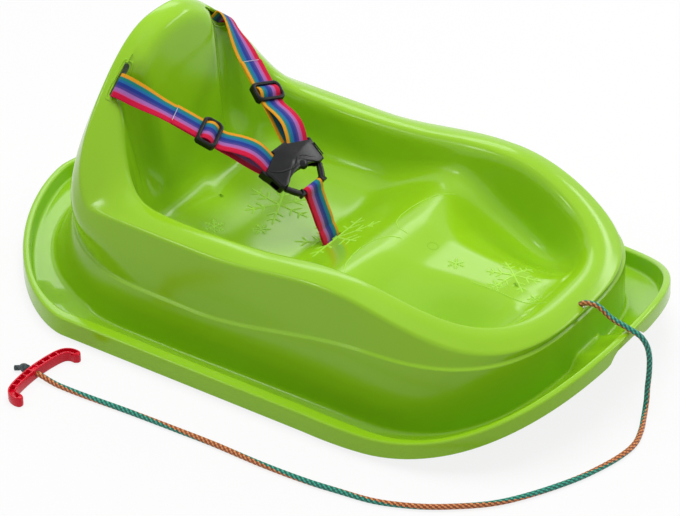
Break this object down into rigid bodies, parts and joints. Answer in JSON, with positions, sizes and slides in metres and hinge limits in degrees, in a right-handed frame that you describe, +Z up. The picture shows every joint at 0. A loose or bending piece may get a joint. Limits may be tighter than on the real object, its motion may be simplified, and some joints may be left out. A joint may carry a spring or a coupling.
{
  "type": "child's pull sled",
  "caption": "Moulded plastic pull sled with high backrest, leg channels, webbing harness with side-release buckle, and tow rope with hooked handle.",
  "frame": {"origin": "centre of the footprint, on the ground that the runners rest on", "axes": "+X towards the nose, +Y towards the rider's left, +Z up"},
  "size_m": [0.8523, 0.6464, 0.2993],
  "materials": {
    "lime_plastic": "glossy moulded lime green plastic",
    "striped_webbing": "woven webbing striped lengthwise in yellow, teal, blue, lilac and crimson",
    "black_plastic": "black moulded plastic with a slight sheen",
    "keeper_steel": "plain steel rod, hidden under the seat",
    "braided_cord": "braided cord in teal and brown-orange",
    "red_plastic": "red moulded plastic"
  },
  "bodies": {
    "sled": {"sled_shell": "lime_plastic", "shoulder_belt_back_run": "striped_webbing", "left_shoulder_strap": "striped_webbing", "right_shoulder_strap": "striped_webbing", "buckle_housing": "black_plastic", "crotch_strap": "striped_webbing", "crotch_strap_keeper": "keeper_steel", "tow_rope": "braided_cord", "tow_rope_knot": "braided_cord", "tow_handle": "red_plastic", "tow_handle_knot": "braided_cord"},
    "left_adjuster": {"left_strap_adjuster": "black_plastic"},
    "right_adjuster": {"right_strap_adjuster": "black_plastic"},
    "latch": {"buckle_latch": "black_plastic"},
    "left_prong": {"left_latch_prong": "black_plastic"},
    "right_prong": {"right_latch_prong": "black_plastic"}
  },
  "joints": [
    {"name": "buckle_release", "type": "slide", "parent": "sled", "child": "latch", "axis": [0.829, 0, -0.5592], "range_m": [0, 0.028], "deforming": ["crotch_strap"]},
    {"name": "left_prong_squeeze", "type": "hinge", "parent": "latch", "child": "left_prong", "pos_m": [-0.02213, 0.0225, 0.13279], "axis": [0.5592, 0, 0.829], "range_deg": [0, 12.1]},
    {"name": "right_prong_squeeze", "type": "hinge", "parent": "latch", "child": "right_prong", "pos_m": [-0.02213, -0.0225, 0.13279], "axis": [0.5592, 0, 0.829], "range_deg": [-12.1, 0]},
    {"name": "left_adjuster_slide", "type": "slide", "parent": "sled", "child": "left_adjuster", "axis": [-0.7905, 0.3743, 0.4847], "range_m": [0, 0.028]},
    {"name": "right_adjuster_slide", "type": "slide", "parent": "sled", "child": "right_adjuster", "axis": [-0.7905, -0.3743, 0.4847], "range_m": [0, 0.028]}
  ],
  "couplings": [
    {"joint": "left_prong_squeeze", "follows": "buckle_release", "rad_per_m": 7.48},
    {"joint": "right_prong_squeeze", "follows": "buckle_release", "rad_per_m": -7.48}
  ]
}
